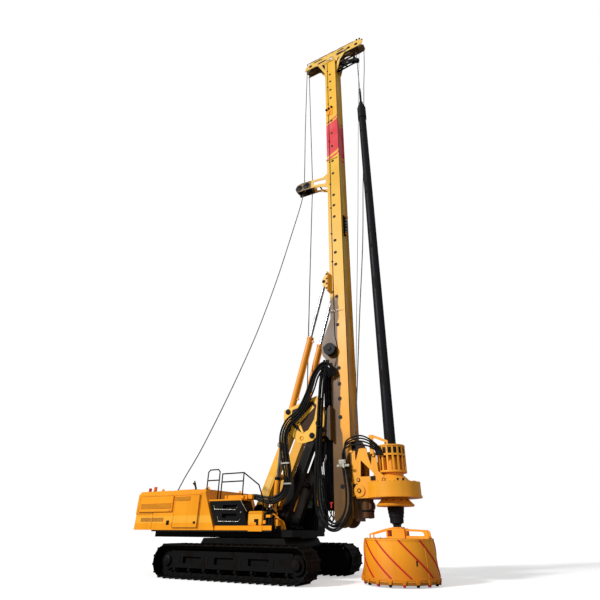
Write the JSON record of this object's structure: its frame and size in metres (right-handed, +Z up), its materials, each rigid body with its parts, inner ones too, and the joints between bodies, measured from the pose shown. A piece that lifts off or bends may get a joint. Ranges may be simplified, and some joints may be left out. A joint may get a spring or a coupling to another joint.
{
  "type": "rotary piling rig",
  "caption": "Rotary piling rig on tracks with a tall leader mast, a kelly bar through a rotary drive, and a drilling bucket with a hinged floor.",
  "frame": {"origin": "on the ground, under the middle of the machine's length and width", "axes": "+X towards the machine's front, where the bucket stands, +Y its left side, where the cab is, +Z up"},
  "size_m": [10.912, 4.234, 27.71],
  "materials": {
    "track_steel": "worn dark steel",
    "frame_black": "dark paint",
    "body_paint": "gloss orange-yellow paint",
    "mast_paint": "gloss yellow paint",
    "kelly_paint": "dark blue-grey paint",
    "bucket_paint": "gloss orange-yellow paint with red ribs",
    "lamp_lens": "tinted lens",
    "cab_paint": "gloss paint",
    "glass": "tinted glass",
    "seat_cloth": "dark cloth",
    "rod_chrome": "polished",
    "wheel_black": "dark",
    "rail_paint": "dark paint",
    "engine_grey": "plain"
  },
  "bodies": {
    "undercarriage": {"car_body": "frame_black", "slew_ring": "frame_black", "track_frame_right": "frame_black", "track_frame_left": "frame_black", "track_loop_right": "track_steel", "track_loop_left": "track_steel"},
    "upper": {"deck_frame": "body_paint", "counterweight": "body_paint", "engine_hood": "body_paint", "door_hinges": "frame_black", "roof_lamps": "lamp_lens", "engine": "engine_grey", "main_winch_frame": "frame_black", "cab_shell": "cab_paint", "cab_glass": "glass", "cab_seat": "seat_cloth", "step_box": "frame_black", "step_cover": "body_paint", "tool_box": "body_paint", "handrails": "rail_paint", "valve_bank": "body_paint"},
    "main_winch": {"main_winch_drum": "frame_black"},
    "door_rear_right": {"hood_door_rear_right": "body_paint"},
    "door_mid_right": {"hood_door_mid_right": "body_paint"},
    "door_rear_left": {"hood_door_rear_left": "body_paint"},
    "door_mid_left": {"hood_door_mid_left": "body_paint"},
    "cab_door": {"cab_door": "cab_paint"},
    "boom": {"boom": "body_paint"},
    "link": {"link": "body_paint"},
    "luff_barrels": {"luff_barrels": "body_paint"},
    "luff_rods": {"luff_rods": "rod_chrome"},
    "carrier": {"carrier": "body_paint"},
    "aux_winch": {"aux_winch_drum": "frame_black"},
    "backstay_barrels": {"backstay_barrels": "mast_paint"},
    "backstay_rods": {"backstay_rods": "rod_chrome"},
    "mast": {"mast_lower": "mast_paint", "mast_middle": "mast_paint", "mast_upper": "mast_paint", "mast_head": "mast_paint", "rope_arm": "frame_black", "rope_bracket": "mast_paint", "hose_reel": "frame_black"},
    "head_rear_wheels": {"sheaves_rear": "wheel_black"},
    "head_main_wheel": {"sheave_main": "wheel_black"},
    "head_aux_wheel": {"sheave_aux": "wheel_black"},
    "guide_rear_wheel": {"sheave_guide_rear": "wheel_black"},
    "guide_front_wheel": {"sheave_guide_front": "wheel_black"},
    "drive": {"drive_carriage": "body_paint", "drive_gearbox": "body_paint", "motor_cage": "body_paint", "drive_lever": "body_paint"},
    "sleeve": {"drive_sleeve": "frame_black"},
    "swivel": {"kelly_swivel": "kelly_paint"},
    "kelly": {"kelly": "kelly_paint", "bucket_shell": "bucket_paint", "bucket_frame": "bucket_paint"},
    "bucket_floor": {"bucket_door": "bucket_paint"}
  },
  "joints": [
    {"name": "slew", "type": "hinge", "parent": "undercarriage", "child": "upper", "pos_m": [-0.632, 0, 1.15], "axis": [0, 0, 1], "continuous": true},
    {"name": "main_winch_turn", "type": "hinge", "parent": "upper", "child": "main_winch", "pos_m": [-4.952, 0, 2.33], "axis": [0, 1, 0], "continuous": true},
    {"name": "door_rear_right_swing", "type": "hinge", "parent": "upper", "child": "door_rear_right", "pos_m": [-5.332, -1.524, 2.2], "axis": [0, 0, -1], "range_deg": [0, 110]},
    {"name": "door_mid_right_swing", "type": "hinge", "parent": "upper", "child": "door_mid_right", "pos_m": [-3.542, -1.524, 2], "axis": [0, 0, -1], "range_deg": [0, 110]},
    {"name": "door_rear_left_swing", "type": "hinge", "parent": "upper", "child": "door_rear_left", "pos_m": [-5.332, 1.524, 2.2], "axis": [0, 0, 1], "range_deg": [0, 110]},
    {"name": "door_mid_left_swing", "type": "hinge", "parent": "upper", "child": "door_mid_left", "pos_m": [-3.542, 1.524, 2], "axis": [0, 0, 1], "range_deg": [0, 110]},
    {"name": "cab_door_swing", "type": "hinge", "parent": "upper", "child": "cab_door", "pos_m": [0.108, 1.824, 2.3], "axis": [0, 0, 1], "range_deg": [0, 100]},
    {"name": "boom_luff", "type": "hinge", "parent": "upper", "child": "boom", "pos_m": [-0.442, 0, 2], "axis": [0, -1, 0], "range_deg": [-5, 12]},
    {"name": "link_swing", "type": "hinge", "parent": "upper", "child": "link", "pos_m": [0.528, 0, 1.7], "axis": [0, -1, 0], "range_deg": [-5.2, 12.2]},
    {"name": "luff_cylinder_swing", "type": "hinge", "parent": "upper", "child": "luff_barrels", "pos_m": [0.298, 0, 1.85], "axis": [0, -1, 0], "range_deg": [-4.9, 11.6]},
    {"name": "luff_cylinder_slide", "type": "slide", "parent": "luff_barrels", "child": "luff_rods", "axis": [0.0784, 0, 0.9969], "range_m": [-0.068, 0.159]},
    {"name": "carrier_level", "type": "hinge", "parent": "boom", "child": "carrier", "pos_m": [0.718, 0, 4.65], "axis": [0, -1, 0], "range_deg": [-12.2, 5.2]},
    {"name": "aux_winch_turn", "type": "hinge", "parent": "carrier", "child": "aux_winch", "pos_m": [1.328, 0, 4.96], "axis": [0, 1, 0], "continuous": true},
    {"name": "mast_tilt", "type": "hinge", "parent": "carrier", "child": "mast", "pos_m": [1.968, 0, 4.76], "axis": [0, 1, 0], "range_deg": [-15, 5]},
    {"name": "backstay_swing", "type": "hinge", "parent": "carrier", "child": "backstay_barrels", "pos_m": [0.668, 0, 5.3], "axis": [0, 1, 0], "range_deg": [-16, 5.4]},
    {"name": "backstay_slide", "type": "slide", "parent": "backstay_barrels", "child": "backstay_rods", "axis": [0.2712, 0, 0.9625], "range_m": [-0.365, 0.124]},
    {"name": "crowd", "type": "slide", "parent": "mast", "child": "drive", "axis": [0, 0, 1], "range_m": [0, 6]},
    {"name": "kelly_hoist", "type": "slide", "parent": "mast", "child": "swivel", "axis": [0, 0, 1], "range_m": [-10.5, 0]},
    {"name": "kelly_turn", "type": "hinge", "parent": "swivel", "child": "kelly", "pos_m": [4.348, 0, 12], "axis": [0, 0, 1], "continuous": true},
    {"name": "sleeve_turn", "type": "hinge", "parent": "drive", "child": "sleeve", "pos_m": [4.348, 0, 2.5], "axis": [0, 0, 1], "continuous": true},
    {"name": "bucket_floor_swing", "type": "hinge", "parent": "kelly", "child": "bucket_floor", "pos_m": [3.195, 0, 0.105], "axis": [0, 1, 0], "range_deg": [0, 90]},
    {"name": "head_rear_wheels_turn", "type": "hinge", "parent": "mast", "child": "head_rear_wheels", "pos_m": [1.318, 0, 27.3], "axis": [0, 1, 0], "continuous": true},
    {"name": "head_main_wheel_turn", "type": "hinge", "parent": "mast", "child": "head_main_wheel", "pos_m": [3.938, 0, 27.3], "axis": [0, 1, 0], "continuous": true},
    {"name": "head_aux_wheel_turn", "type": "hinge", "parent": "mast", "child": "head_aux_wheel", "pos_m": [4.418, 0, 27.3], "axis": [0, 1, 0], "continuous": true},
    {"name": "guide_rear_wheel_turn", "type": "hinge", "parent": "mast", "child": "guide_rear_wheel", "pos_m": [0.668, 0, 17.1], "axis": [0, 1, 0], "continuous": true},
    {"name": "guide_front_wheel_turn", "type": "hinge", "parent": "mast", "child": "guide_front_wheel", "pos_m": [1.098, 0, 17.1], "axis": [0, 1, 0], "continuous": true}
  ],
  "couplings": [
    {"joint": "link_swing", "follows": "boom_luff", "ratio": 1},
    {"joint": "carrier_level", "follows": "boom_luff", "ratio": -1},
    {"joint": "luff_cylinder_swing", "follows": "boom_luff", "ratio": 0.9413},
    {"joint": "luff_cylinder_slide", "follows": "boom_luff", "m_per_rad": 0.7435},
    {"joint": "backstay_swing", "follows": "mast_tilt", "ratio": 1.0536},
    {"joint": "backstay_slide", "follows": "mast_tilt", "m_per_rad": 1.381},
    {"joint": "sleeve_turn", "follows": "kelly_turn", "ratio": 1}
  ]
}
